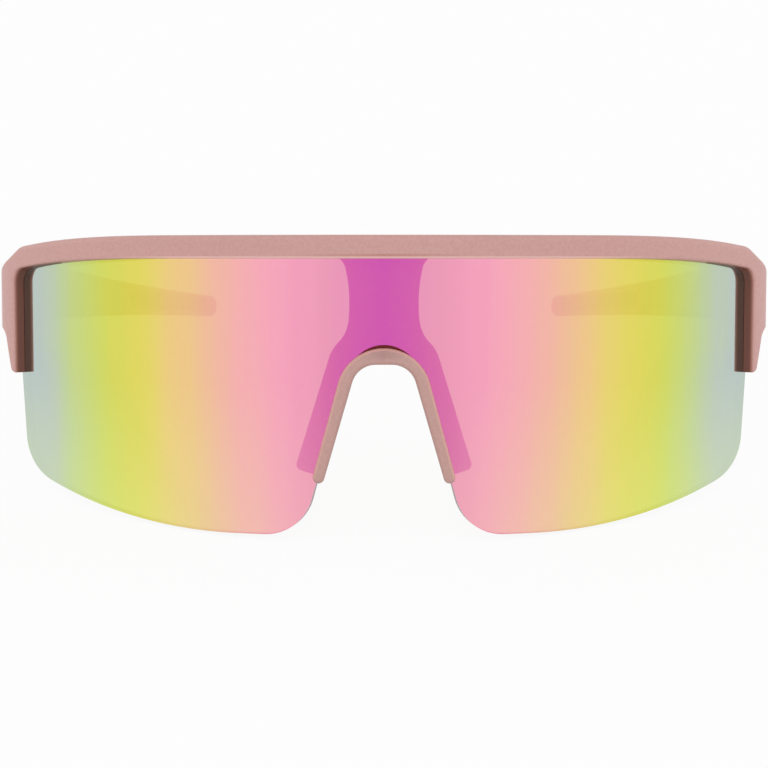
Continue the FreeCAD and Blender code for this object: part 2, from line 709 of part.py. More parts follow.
PAD_LOW = f"({ARCH} * dims.pad_low_share)"
PAD_HIGH = f"({ARCH} * dims.pad_high_share)"
flange = loft("pad_flange", [flange_section("flange_foot", f"({PAD_LOW} + dims.flange_inset)"),
                             flange_section("flange_head", f"({PAD_HIGH} - dims.flange_inset)")], True)
other_flange = doc.addObject("Part::Mirroring", "other_flange")
other_flange.Source = flange
other_flange.Normal = Vector(1, 0, 0)
doc.recompute()
bridge_blank = doc.addObject("Part::MultiFuse", "bridge_blank")
bridge_blank.Shapes = [bead, strut, flange, other_flange]
bridge_blank.Refine = True
bridge = combine("Cut", "bridge_gripping_lens", bridge_blank, groove)


def pad_section(name, height, share):
    """The soft pad cut level: flat against the flange and crowned towards the nose."""
    chord = f"({share} * dims.pad_chord)"
    crown = f"({share} * dims.pad_crown)"
    front = f"(dims.pad_start + (1 - {share}) * dims.pad_chord / 2)"
    bow = f"(({chord} / 2)^2 + {crown}^2) / (2 * {crown})"
    return level_sketch(name, height, [
        (*flange_point(height, front), None),
        (*flange_point(height, f"({front} + {chord})"), bow),
    ])


pad_span = f"({PAD_HIGH} - {PAD_LOW})"
nose_pad = loft("pad_cushion", [
    pad_section("pad_foot", PAD_LOW, 0.4),
    pad_section("pad_lower", f"({PAD_LOW} + 0.2 * {pad_span})", 0.86),
    pad_section("pad_middle", f"({PAD_LOW} + 0.5 * {pad_span})", 1.0),
    pad_section("pad_upper", f"({PAD_LOW} + 0.8 * {pad_span})", 0.8),
    pad_section("pad_head", PAD_HIGH, 0.36),
], False)

# Temples: a plan outline that bends in towards the head, cut to a side profile that tapers to the tip
tip_y = f"({JOINT_Y} + dims.temple_length)"
butt_y = f"({JOINT_Y} + dims.joint_gap)"
OUTER_BOW = "((dims.temple_length^2 + dims.tip_inset^2) / (2 * dims.tip_inset))"
bow_centre = Vector(value(f"{HALF} - {OUTER_BOW}"), value(JOINT_Y), 0)
tip_outer = Vector(value(f"{HALF} - dims.tip_inset"), value(tip_y), 0)
tip_inner = tip_outer + (bow_centre - tip_outer).normalize() * value("dims.tip_thickness")
inner_run = value(INNER_X) - tip_inner.x
inner_bow = (inner_run ** 2 + (tip_inner.y - value(JOINT_Y)) ** 2) / (2 * inner_run)
inner_centre = Vector(value(INNER_X) - inner_bow, value(JOINT_Y), 0)


def bow_x(centre, bow, y):
    """Across position on one of the temple's bowed faces at a distance back."""
    return centre.x + math.sqrt(bow ** 2 - (y - centre.y) ** 2)


butt = value(butt_y)
temple_plan = [
    (bow_x(bow_centre, value(OUTER_BOW), butt), butt_y, OUTER_BOW),
    (tip_outer.x, tip_y, None),
    (tip_inner.x, tip_inner.y, -inner_bow),
    (bow_x(inner_centre, inner_bow, butt), butt_y, None),
]
temple_crest = f"({JOINT_TOP} + dims.crown_rise)"
crown_y = f"({JOINT_Y} + dims.crown_reach)"
slope_y = f"({crown_y} + dims.crown_radius * sin(dims.temple_slope))"
slope_z = f"({temple_crest} - dims.crown_radius * (1 - cos(dims.temple_slope)))"
TIP_TOP = f"({slope_z} - ({tip_y} - {slope_y}) * tan(dims.temple_slope))"
TIP_BOTTOM = f"({TIP_TOP} - dims.tip_height)"
foot_drop = f"({JOINT_BOTTOM} - {TIP_BOTTOM})"
foot_chord = f"sqrt(dims.temple_length^2 + {foot_drop}^2)"
ahead = f"({JOINT_Y} - 5)"
beyond = f"({tip_y} + 5)"
temple_body = doc.addObject("PartDesign::Body", "temple_body")
temple_sketch = plane_sketch(temple_body, "temple_plan", "XY_Plane", f"{TIP_BOTTOM} - 1", temple_plan)
grow(temple_body, "Pad", "temple_blank", temple_sketch, f"{temple_crest} - {TIP_BOTTOM} + 2")
above = [
    (ahead, JOINT_TOP, None),
    (JOINT_Y, JOINT_TOP, "-(dims.crown_reach^2 + dims.crown_rise^2) / (2 * dims.crown_rise)"),
    (crown_y, temple_crest, "-dims.crown_radius"),
    (slope_y, slope_z, None),
    (tip_y, TIP_TOP, None),
    (beyond, TIP_TOP, None),
    (beyond, f"{temple_crest} + 5", None),
    (ahead, f"{temple_crest} + 5", None),
]
below = [
    (ahead, JOINT_BOTTOM, None),
    (JOINT_Y, JOINT_BOTTOM, f"-({foot_chord}^2 / 4 + dims.underside_arch^2) / (2 * dims.underside_arch)"),
    (tip_y, TIP_BOTTOM, None),
    (beyond, TIP_BOTTOM, None),
    (beyond, f"{TIP_BOTTOM} - 5", None),
    (ahead, f"{TIP_BOTTOM} - 5", None),
]
profile_sketch = plane_sketch(temple_body, "temple_side", "YZ_Plane", "0", above, below)
grow(temple_body, "Pocket", "temple_profile", profile_sketch, "1.2 * dims.overall_width", both_ways=True)


def on_tip_corner(edge):
    """The upper and lower corners of the temple's end."""
    low = min(vertex.Y for vertex in edge.Vertexes)
    return low > tip_inner.y - 0.05 and abs(edge.Vertexes[0].Z - edge.Vertexes[-1].Z) < 0.2


def on_temple_rim(edge):
    """The long edges of the temple and the edges round its end."""
    point = middle(edge)
    outer = abs(math.hypot(point.x - bow_centre.x, point.y - bow_centre.y) - value(OUTER_BOW)) < 0.01
    inner = abs(math.hypot(point.x - inner_centre.x, point.y - inner_centre.y) - inner_bow) < 0.01
    return point.y > butt + 0.05 and (outer or inner)


round_edges(temple_body, "temple_end", "dims.tip_round", on_tip_corner)
round_edges(temple_body, "temple_rim", "dims.temple_round", on_temple_rim)

# Soft grip: a strip let into the inner face near the tip
grip_first = value(f"{JOINT_Y} + dims.grip_start")
grip_last = grip_first + value("dims.grip_length")
grip_deep = inner_bow + value("dims.grip_depth")
grip_high = inner_bow - value("dims.grip_proud")
first_way = math.asin((grip_first - inner_centre.y) / inner_bow)
last_way = math.asin((grip_last - inner_centre.y) / inner_bow)


def grip_corner(reach, way):
    """A corner of the grip in plan, by its distance and direction from the centre of the inner bow."""
    return inner_centre.x + reach * math.cos(way), inner_centre.y + reach * math.sin(way)


grip_plan = level_sketch("grip_plan", f"{TIP_BOTTOM} - 5", [
    (*grip_corner(grip_deep, first_way), grip_deep),
    (*grip_corner(grip_deep, last_way), None),
    (*grip_corner(grip_high, last_way), -grip_high),
    (*grip_corner(grip_high, first_way), None),
])


def temple_middle(y):
    """Height half-way up the temple at a distance back, near its tip."""
    top = value(TIP_TOP) + (value(tip_y) - y) * math.tan(math.radians(value("dims.temple_slope")))
    share = (y - value(JOINT_Y)) / value("dims.temple_length")
    bottom = value(JOINT_BOTTOM) - share * value(foot_drop)
    return (top + bottom + 4 * share * (1 - share) * value("dims.underside_arch")) / 2


grip_along = Vector(grip_last - grip_first, temple_middle(grip_last) - temple_middle(grip_first), 0).normalize()
grip_up = Vector(-grip_along.y, grip_along.x, 0)
grip_half = value("dims.grip_height / 2")
grip_corner_radius = 0.45 * value("dims.grip_height")
grip_start = Vector(grip_first + 0.3, temple_middle(grip_first), 0)
grip_end = Vector(grip_last - 0.3, temple_middle(grip_last), 0)
grip_side = []
for corner, along, up in ((grip_start, 1, -1), (grip_end, -1, -1), (grip_end, -1, 1), (grip_start, 1, 1)):
    corner = corner + grip_up * grip_half * up
    level = corner + grip_along * grip_corner_radius * along
    upright = corner - grip_up * grip_corner_radius * up
    first, second = (upright, level) if along == -up else (level, upright)
    grip_side.append((first.x, first.y, grip_corner_radius))
    grip_side.append((second.x, second.y, None))
grip = combine("Common", "grip_strip", prism(grip_plan, f"{temple_crest} - {TIP_BOTTOM}", Vector(0, 0, 1)),
               side_prism("grip_side", grip_side))

# Hinges: two knuckles on the front leaf, one on the temple leaf, washers between and a screw through all
HINGE_LOW = f"({JOINT_MID} - dims.hinge_height / 2)"
MIDDLE_LOW = f"({JOINT_MID} - dims.middle_knuckle / 2)"
END_KNUCKLE = "((dims.hinge_height - dims.middle_knuckle) / 2 - dims.washer_thickness - 2 * dims.running_gap)"
UPPER_LOW = f"({HINGE_LOW} + dims.hinge_height - {END_KNUCKLE})"
BORE = "(dims.pin_radius + dims.pin_clearance)"


def post(name, radius, low, height):
    """An upright cylinder on the hinge axis of the wearer's left side."""
    solid = doc.addObject("Part::Cylinder", name)
    solid.setExpression("Radius", str(radius))
    solid.setExpression("Height", str(height))
    solid.setExpression("Placement.Base.x", PIVOT_X)
    solid.setExpression("Placement.Base.y", JOINT_Y)
    solid.setExpression("Placement.Base.z", str(low))
    return solid


def block(name, x, y, z, length, width, height):
    """A box by its near lower corner and its three sizes."""
    solid = doc.addObject("Part::Box", name)
    for axis, place in zip("xyz", (x, y, z)):
        solid.setExpression("Placement.Base." + axis, str(place))
    for side, extent in (("Length", length), ("Width", width), ("Height", height)):
        solid.setExpression(side, str(extent))
    return solid


def rod(name, radius, x, y, z, length):
    """A cylinder that runs outwards along X."""
    solid = doc.addObject("Part::Cylinder", name)
    solid.Placement = Placement(Vector(), Rotation(Vector(0, 1, 0), 90))
    solid.setExpression("Radius", str(radius))
    solid.setExpression("Height", str(length))
    for axis, place in zip("xyz", (x, y, z)):
        solid.setExpression("Placement.Base." + axis, str(place))
    return solid


def together(kind, name, solids):
    """One object of several: MultiFuse joins them and Compound keeps them apart."""
    result = doc.addObject("Part::" + kind, name)
    if kind == "Compound":
        result.Links = solids
    else:
        result.Shapes = solids
        result.Refine = True
    doc.recompute()
    return result


SEAT_X = f"({INNER_X} - dims.plate_thickness)"
RELIEF = "(dims.knuckle_radius + dims.knuckle_relief)"
front_plate = block("front_plate", SEAT_X, f"{JOINT_Y} - dims.front_plate_length", HINGE_LOW,
                    "dims.plate_thickness", "dims.front_plate_length", "dims.hinge_height")
temple_plate = block("temple_plate", SEAT_X, JOINT_Y, HINGE_LOW,
                     "dims.plate_thickness", "dims.temple_plate_length", "dims.hinge_height")
middle_gap = "(dims.washer_thickness + 2 * dims.running_gap)"
middle_relief = post("middle_relief", RELIEF, f"{MIDDLE_LOW} - {middle_gap}",
                     f"dims.middle_knuckle + 2 * {middle_gap}")
lower_relief = post("lower_relief", RELIEF, f"{HINGE_LOW} - 1", f"{END_KNUCKLE} + 1 + {middle_gap}")
upper_relief = post("upper_relief", RELIEF, f"{UPPER_LOW} - {middle_gap}", f"{END_KNUCKLE} + 1 + {middle_gap}")
end_reliefs = together("MultiFuse", "end_reliefs", [lower_relief, upper_relief])
front_leaf = together("MultiFuse", "front_leaf", [
    combine("Cut", "front_plate_cleared", front_plate, middle_relief),
    post("lower_knuckle", "dims.knuckle_radius", HINGE_LOW, END_KNUCKLE),
    post("upper_knuckle", "dims.knuckle_radius", UPPER_LOW, END_KNUCKLE),
])
temple_leaf = together("MultiFuse", "temple_leaf", [
    combine("Cut", "temple_plate_cleared", temple_plate, end_reliefs),
    post("middle_knuckle_post", "dims.knuckle_radius", MIDDLE_LOW, "dims.middle_knuckle"),
])

# The hinge screw fills the bores of the front leaf and runs free in the temple leaf
HINGE_TOP = f"({HINGE_LOW} + dims.hinge_height)"
screw_blank = together("MultiFuse", "screw_blank", [
    post("screw_shank", "dims.pin_radius", HINGE_LOW, "dims.hinge_height"),
    post("screw_head", "dims.pin_head_radius", f"{HINGE_TOP} - dims.pin_head_height", "dims.pin_head_height"),
])
slot_box = block("screw_slot", f"{PIVOT_X} - 3", f"{JOINT_Y} - dims.pin_slot / 2",
                 f"{HINGE_TOP} - dims.pin_head_height / 2", "6", "dims.pin_slot", "dims.pin_head_height")
hinge_screw = combine("Cut", "slotted_screw", screw_blank, slot_box)
head_seat = post("head_seat", "dims.pin_head_radius + dims.pin_clearance / 2",
                 f"{HINGE_TOP} - dims.pin_head_height", "dims.pin_head_height + 1")
thread_bore = post("thread_bore", "dims.pin_radius + dims.pin_clearance / 2", f"{HINGE_LOW} - 1",
                   "dims.hinge_height + 2")
free_bore = post("free_bore", BORE, f"{HINGE_LOW} - 1", "dims.hinge_height + 2")
washers = []
for label, low in (("lower", f"{MIDDLE_LOW} - dims.running_gap - dims.washer_thickness"),
                   ("upper", f"{MIDDLE_LOW} + dims.middle_knuckle + dims.running_gap")):
    disc = post(label + "_washer_disc", "dims.washer_radius", low, "dims.washer_thickness")
    washers.append(combine("Cut", label + "_washer", disc, free_bore))
hinge_washers = together("Compound", "washer_pair", washers)


def plate_screws(name, y):
    """Two screws through a hinge plate into the moulding, with their heads on the plate."""
    screws = []
    holes = []
    for label, side in (("low", -1), ("high", 1)):
        z = f"{JOINT_MID} + {side} * dims.plate_screw_spacing / 2"
        head = rod(f"{name}_{label}_head", "dims.plate_head_radius", f"{SEAT_X} - dims.plate_head_height", y, z,
                   "dims.plate_head_height")
        reach = "dims.plate_thickness + dims.plate_screw_length"
        shank = rod(f"{name}_{label}_shank", "dims.plate_screw_radius", SEAT_X, y, z, reach)
        screws.append(together("MultiFuse", f"{name}_{label}", [head, shank]))
        holes.append(rod(f"{name}_{label}_hole", "dims.plate_screw_radius + 0.02", f"{SEAT_X} - 1", y, z,
                         f"{reach} + 1.02"))
    return together("Compound", name, screws), together("MultiFuse", name + "_holes", holes)


front_screw_y = f"({JOINT_Y} - {RELIEF} - (dims.front_plate_length - {RELIEF}) / 2)"
temple_screw_y = f"({JOINT_Y} + {RELIEF} + (dims.temple_plate_length - {RELIEF}) / 2)"
front_screws, front_holes = plate_screws("front_screws", front_screw_y)
temple_screws, temple_holes = plate_screws("temple_screws", temple_screw_y)
front_bores = together("MultiFuse", "front_bores", [thread_bore, head_seat, front_holes])
front_hinge = combine("Cut", "front_leaf_bored", front_leaf, front_bores)
temple_bores = together("MultiFuse", "temple_bores", [free_bore, temple_holes])
temple_hinge = combine("Cut", "temple_leaf_bored", temple_leaf, temple_bores)

# Room for the hinges in the mouldings
knuckle_room = post("knuckle_room", RELIEF, f"{HINGE_LOW} - dims.knuckle_relief",
                    "dims.hinge_height + 2 * dims.knuckle_relief")
temple_seat = block("temple_seat", f"{INNER_X} - 6", f"{JOINT_Y} - 1", HINGE_LOW,
                    "6", "dims.temple_plate_length + 1.1", "dims.hinge_height")
temple_room = together("MultiFuse", "temple_room", [knuckle_room, temple_seat, temple_holes, grip])
temple = combine("Cut", "temple_arm", temple_body, temple_room)
left_room = together("MultiFuse", "left_room", [knuckle_room, front_holes])
right_room = doc.addObject("Part::Mirroring", "right_room")
right_room.Source = left_room
right_room.Normal = Vector(1, 0, 0)
key_box = block("key_box", "-dims.key_width / 2 - dims.groove_clearance", "0", BAR_BOTTOM,
                "dims.key_width + 2 * dims.groove_clearance", "10", "dims.key_height + dims.groove_clearance")
key_room = combine("Common", "key_room", key_box, strut_drum)
frame_room = together("MultiFuse", "frame_room", [left_room, right_room, key_room, groove])
front = combine("Cut", "brow_with_groove", frame, frame_room)

# The pieces by name, with the wearer's right side mirrored from the left
shapes = {
    "brow_frame": front,
    "shield_lens": lens,
    "nose_bridge": bridge,
}
sided = {
    "nose_pad": nose_pad,
    "front_hinge": front_hinge,
    "front_plate_screws": front_screws,
    "hinge_screw": hinge_screw,
    "hinge_washers": hinge_washers,
    "temple": temple,
    "temple_hinge": temple_hinge,
    "temple_plate_screws": temple_screws,
    "ear_grip": grip,
}
for name, left in sided.items():
    right = doc.addObject("Part::Mirroring", name + "_mirror")
    right.Source = left
    right.Normal = Vector(1, 0, 0)
    shapes[name + "_left"] = left
    shapes[name + "_right"] = right
doc.recompute()


# Lean the glasses back until the lens and both temple tips stand on one level
def lowest(points, angle):
    """Height of the lowest of the points after leaning back by an angle in degrees."""
    turn = math.radians(angle)
    return min(point.z * math.cos(turn) - point.y * math.sin(turn) for point in points)


lens_points = lens.Shape.tessellate(0.02)[0]
temple_points = temple.Shape.tessellate(0.02)[0]
upright, flat = 0.0, 45.0
while flat - upright > 1e-6:
    lean = (upright + flat) / 2
    if lowest(temple_points, lean) > lowest(lens_points, lean):
        upright = lean
    else:
        flat = lean
stand = Placement(Vector(), Rotation(Vector(1, 0, 0), -lean))
stood = [stand.multVec(point) for shape in shapes.values() for point in shape.Shape.tessellate(0.05)[0]]
front_y = min(point.y for point in stood)
back_y = max(point.y for point in stood)
floor_z = min(point.z for point in stood)
stand.Base = Vector(0, -(front_y + back_y) / 2, -floor_z)

pieces = []
for name, shape in shapes.items():
    piece = doc.addObject("Part::Compound", name)
    piece.Label = name
    piece.Links = [shape]
    piece.Placement = stand
    pieces.append(piece)
doc.recompute()

for item in doc.Objects:
    if "Invalid" in item.State or "Error" in item.State:
        raise RuntimeError(f"{item.Name} failed to build: {item.State}")
for piece in pieces:
    if piece.Shape.isNull() or not piece.Shape.isValid() or not piece.Shape.Solids:
        raise RuntimeError(f"{piece.Label} has no valid solid")
os.makedirs("parts", exist_ok=True)
for piece in pieces:
    piece.Shape.exportStep(f"parts/{piece.Label}.step")

pivot = stand.multVec(Vector(value(PIVOT_X), value(JOINT_Y), value(JOINT_MID)))
axis = stand.Rotation.multVec(Vector(0, 0, 1))
print("lean", round(lean, 4), "left hinge", tuple(round(part, 4) for part in pivot), "axis",
      tuple(round(part, 6) for part in axis), "shift", tuple(round(part, 4) for part in stand.Base))
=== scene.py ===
"""Shield sunglasses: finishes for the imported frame, lens, temples and hinges, moulded soft pads and grips
that stand for the plain soft solids, and a pale studio with the camera straight ahead of the lens."""
import json
import math

import bpy
from bpy.props import FloatProperty, FloatVectorProperty, IntProperty, PointerProperty
from mathutils import Matrix, Vector


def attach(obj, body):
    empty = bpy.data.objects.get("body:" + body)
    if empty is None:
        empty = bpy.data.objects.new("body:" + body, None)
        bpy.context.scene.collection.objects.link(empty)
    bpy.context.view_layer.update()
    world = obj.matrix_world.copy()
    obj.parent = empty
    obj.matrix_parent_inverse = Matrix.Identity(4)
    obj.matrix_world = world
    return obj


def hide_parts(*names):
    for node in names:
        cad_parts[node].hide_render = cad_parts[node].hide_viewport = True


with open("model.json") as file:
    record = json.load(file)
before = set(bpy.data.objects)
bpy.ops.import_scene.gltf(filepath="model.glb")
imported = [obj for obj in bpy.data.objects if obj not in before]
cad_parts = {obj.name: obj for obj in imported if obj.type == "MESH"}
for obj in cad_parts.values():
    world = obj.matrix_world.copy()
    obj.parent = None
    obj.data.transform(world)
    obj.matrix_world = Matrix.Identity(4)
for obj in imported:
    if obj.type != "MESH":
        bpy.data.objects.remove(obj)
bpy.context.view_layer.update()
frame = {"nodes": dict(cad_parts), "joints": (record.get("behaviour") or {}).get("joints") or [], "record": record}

bl_info = {
    "name": "Shield sunglasses",
    "version": (1, 0, 0),
    "blender": (4, 5, 0),
    "location": "3D View > Sidebar > Sunglasses",
    "description": "Finishes, soft pads and studio for a pair of shield sunglasses",
    "category": "Object",
}

# Places of the solids in their design frame, in millimetres: upright on the lens, back along the temples
MM = 0.001
HINGE = next(joint for joint in frame["joints"] if joint["name"] == "left_temple_fold")
UPRIGHT = Vector(HINGE["axis"])
LEAN = math.atan2(UPRIGHT.y, UPRIGHT.z)
BROW_TOP = Vector((0.0, 1.5, 51.2))
HALF_WIDTH = 72.6
LENS_RADIUS = 88.0
LENS_THICKNESS = 2.0
WINDOW_ANGLE = math.radians(49.54)
BAR_BOTTOM = 47.2
DROOP_START = 7.0
DROOP_RADIUS = 121.7
ARCH_HEIGHT = 24.0
LEG_ANGLE = math.radians(16.2)
LEG_REACH = 5.8
BEAD_ANGLE = math.radians(15.2)
BEAD_REACH = 8.1
FLANGE_ROOT = 3.4
FLANGE_SPLAY = math.radians(28.0)
FLANGE_OUT = 0.15
FLANGE_MIDDLE = 5.0
PAD_FOOT = 10.1
PAD_HEAD = 25.9
PAD_LIFT = 0.03
TEMPLE_BOW = 330.5
BOW_CENTRE = Vector((-263.2, 39.6, 0.0))
GRIP_FOOT = Vector((0.0, 113.9, 37.6))
GRIP_HEAD = Vector((0.0, 157.3, 34.8))

# Mirror coat: places of its colours as shares of half the width, and how they shift and pale lower down
COAT_PLACES = {
    "centre": 0.0, "blush": 0.13, "pink": 0.25, "peach": 0.4,
    "gold": 0.54, "lime": 0.66, "mint": 0.77, "silver": 0.87,
}
FACE_SKIN = 0.05
STREAK_ACROSS = 0.22
STREAK_UP = 0.012
STREAK_SHIFT = 5.0
LOW_HEIGHT = 32.0
LOW_FADE = 16.0
LOW_SHIFT = 2.8
LOW_REACH = 60.0
GLARE_HEIGHT = 26.0
GLARE_RATE = 0.012
GLARE_REACH = 45.0
# Painted shadow on the lens just above the bead: where it starts, how wide it is and how it narrows across
BEAD_SHADOW_FOOT = 28.0
BEAD_SHADOW_WIDTH = 0.55
BEAD_SHADOW_SQUARE = 21.2
BACK_SILVER = (0.9, 0.9, 0.9, 1.0)

# Share of the light that passes the coat, most of it over the nose, and the bare back of the sheet
PASS_LEAST = 0.02
PASS_EYE = 0.12
EYE_END = 60.0
EYE_FADE = 14.0
PASS_NOSE = 0.19
NOSE_FADE = 34.0
PASS_BACK = 0.94

# Painted shade on the walls of the recess beside the lens, darkest nearest the lens, in millimetres from the lens
# and from the wall
WALL_END = 0.39
WALL_FADE = 0.3
WALL_TOP = 0.15
WALL_ASIDE = 58.0
WALL_BACK = -0.3
WALL_FRONT = 2.1
DEEP_SHADE_FRONT = 1.75
DEPTH_FADE = 0.5

# Painted highlight on the edge and painted soft shadow under the bar, and painted highlight and shade on the bead,
# in millimetres and as shares
LIP_FRONT = 1.7
LIP_LOW = -0.1
LIP_TOP = 0.36
LIP_END = 52.0
LIP_FADE = 16.0
LIP_HIGHLIGHT_SHARE = 0.65
SHADOW_TOP = 0.8
SHADOW_FADE = 16.0
SHADOW_SHARE = 0.6
CROWN_RISE = 5.9
CROWN_BLEND = 0.8
CROWN_FADE = 4.5
CROWN_SHARE = 0.6
RIM_WIDTH = 0.4
RIM_HIGHLIGHT_SHARE = 0.5

# Grain of the finishes, in waves per millimetre, and how far their second tone goes
SMEAR_SCALE = 0.09
CLOUD_SCALE = 0.07
CLOUD_SHARE = 0.25
FLECK_SHARE = 0.45
BRIDGE_DARK = 0.85
LEAF_LINES = (3.0, 0.4, 12.0)
SCREW_LINES = (6.0, 6.0, 6.0)
STEEL_DARK = 0.8
SKIN_SCALE = 5.0
SOFT_CLOUD_SCALE = 0.3
SOFT_DARK = 0.86

# Soft pieces: rings of a pad as shares of its crown and width, and the strip, corners and ribs of a grip
PAD_SIDES = 44
PAD_RINGS = (
    (0.04, 1.0), (0.3, 0.97), (0.44, 0.93), (0.47, 0.87), (0.4, 0.83), (0.42, 0.79), (0.6, 0.7),
    (0.8, 0.54), (0.93, 0.36), (0.99, 0.18), (1.0, 0.06),
)
GRIP_SLACK = 0.04
GRIP_BASE = 0.35
GRIP_ROUND = 0.45
CORNER_STEPS = 6
RIB_INSET = 0.18
FACING_OUT = 0.9
UPRIGHT_RISE = 0.5
SMOOTH_ANGLE = math.radians(50)

# Studio: floor in metres, lamps in degrees
FLOOR_SIZE = 8.0
FLOOR_DROP = 0.0002
FLOOR_GREY = (0.9, 0.9, 0.9, 1.0)
WHITE = (1.0, 1.0, 1.0, 1.0)
KEY_TILT = 55.0
SIDE_TILT = 78.0
SIDE_TURN = 100.0
LAMP_SPREAD = math.radians(60.0)
SENSOR_WIDTH = 36.0
CLIP_START = 0.01


def design_shift():
    """Where the foot of the lens on the centre line lies in the leaned frame."""
    brow = next(mount for mount in frame["record"]["mounts"] if mount["name"] == "brow_top")
    return Vector(brow["pos_m"]) - Matrix.Rotation(-LEAN, 3, "X") @ BROW_TOP * MM


SHIFT = design_shift()
STAND = Matrix.Translation(SHIFT) @ Matrix.Rotation(-LEAN, 4, "X") @ Matrix.Scale(MM, 4)


def colour(label, about, default):
    """A colour that a user may change, in linear light."""
    return FloatVectorProperty(name=label, description=about, default=default, subtype="COLOR",
                               min=0.0, max=1.0)


def length(label, about, millimetres):
    """A length that a user may change, given here in millimetres."""
    return FloatProperty(name=label, description=about, default=millimetres * MM, unit="LENGTH",
                         precision=5)


class LensLook(bpy.types.PropertyGroup):
    """Mirror colours across the lens, from the centre line out, and the tint of its sheet."""
    centre: colour("Centre", "Mirror colour over the nose", (0.9, 0.128, 0.634))
    blush: colour("Blush", "Mirror colour beside the nose", (0.92, 0.19, 0.548))
    pink: colour("Pink", "Mirror colour before the eye", (1.0, 0.295, 0.557))
    peach: colour("Peach", "Mirror colour over the eye", (0.93, 0.452, 0.372))
    gold: colour("Gold", "Mirror colour outside the eye", (0.85, 0.627, 0.171))
    lime: colour("Lime", "Mirror colour before the edge", (0.7, 0.69, 0.097))
    mint: colour("Mint", "Mirror colour where green turns to silver", (0.57, 0.676, 0.252))
    silver: colour("Silver", "Mirror colour at the edge", (0.5, 0.583, 0.522))
    glare: colour("Glare", "Paler tone that the mirror takes towards its foot", (0.85, 1.0, 0.33))
    # Painted shadow: the dark line stands for shade falling on the lens just above the bead
    seam: colour("Seam", "Dark line on the lens above the bead", (0.162, 0.01, 0.025))
    sheet: colour("Sheet tint", "Light that one pass through the sheet lets by", (0.8, 0.84, 0.55))
    rim: colour("Cut edge", "Colour of the polished edge of the sheet", (0.15, 0.08, 0.12))


class ShellLook(bpy.types.PropertyGroup):
    """The rose moulding of frame, bridge and temples."""
    rose: colour("Rose", "Main colour of the mouldings", (0.585, 0.325, 0.3))
    deep: colour("Deep rose", "Colour of the darker flecks", (0.5, 0.267, 0.243))
    bridge: colour("Bridge rose", "Colour of the nose bridge", (0.525, 0.31, 0.278))
    # Painted shade: darkens the lip walls beside the lens and paints the shadow under the bar
    painted_shade: colour("Wall rose", "Colour of the lip beside the lens and of the shadow under the bar",
                 (0.4, 0.155, 0.115))
    # Painted shade, darker still, on the part of the lip wall nearest the lens
    gap: colour("Deep shade", "Colour of the dark wall between lip and lens", (0.17, 0.06, 0.042))
    # Painted highlight along the lower edge of the bar
    pale: colour("Pale rose", "Colour of the edge under the bar", (0.9, 0.58, 0.53))
    # Painted highlight along the bead's outer edge beside the lens
    rim: colour("Bead edge", "Colour of the bead's edge along the lens", (0.76, 0.4, 0.33))
    crown: colour("Bead crown", "Colour of the shaded crown of the bead", (0.33, 0.17, 0.165))
    fleck: length("Fleck size", "Spacing of the flecks in the moulding", 0.55)
    grain: length("Grain size", "Spacing of the moulded satin grain", 0.16)


class SoftLook(bpy.types.PropertyGroup):
    """Soft pads at the nose and soft grips on the temples."""
    pad: colour("Pad", "Colour of the nose pads", (0.5, 0.29, 0.275))
    grip: colour("Grip", "Colour of the ear grips", (0.47, 0.27, 0.255))
    pad_width: length("Pad width", "Width of a nose pad across its flange", 7.2)
    pad_crown: length("Pad crown", "How far a nose pad swells from its flange", 1.85)
    grip_width: length("Grip width", "Height of an ear grip", 3.36)
    grip_depth: length("Grip depth", "How deep an ear grip is let into the temple", 0.98)
    grip_proud: length("Grip stand", "How far the ribs stand out of the temple", 0.35)
    ribs: IntProperty(name="Ribs", description="Number of ribs on each ear grip", default=17, min=2)


class MetalLook(bpy.types.PropertyGroup):
    """Steel of the hinges and screws, and nylon of the washers."""
    steel: colour("Steel", "Colour of the hinge leaves", (0.56, 0.56, 0.57))
    screw: colour("Screw", "Colour of the screws", (0.66, 0.66, 0.67))
    nylon: colour("Nylon", "Colour of the washers", (0.78, 0.78, 0.75))


class StudioLook(bpy.types.PropertyGroup):
    """Camera and light."""
    distance: length("Camera distance", "From the camera to the middle of the lens", 300.0)
    aim: length("Camera aim", "Height up the lens at which the camera looks", 26.04)
    pitch: FloatProperty(name="Camera pitch", description="How far the camera looks down on the lens",
                         default=math.radians(4.2), subtype="ANGLE")
    focal: FloatProperty(name="Focal length", description="For a sensor 36 mm wide", default=83.13)
    ambient: FloatProperty(name="Ambient light", description="Light from all round on matt surfaces",
                           default=0.55)
    key: FloatProperty(name="Key light", description="Strength of the soft lamp ahead and above",
                       default=1.1)
    sides: FloatProperty(name="Side light", description="Strength of the two soft lamps at the sides",
                         default=0.9)
    floor_glow: FloatProperty(name="Floor glow", description="Share of the floor that shows as pure white",
                              default=0.92)


class SunglassesLook(bpy.types.PropertyGroup):
    """All that a user may change."""
    lens: PointerProperty(type=LensLook)
    shell: PointerProperty(type=ShellLook)
    soft: PointerProperty(type=SoftLook)
    metal: PointerProperty(type=MetalLook)
    studio: PointerProperty(type=StudioLook)


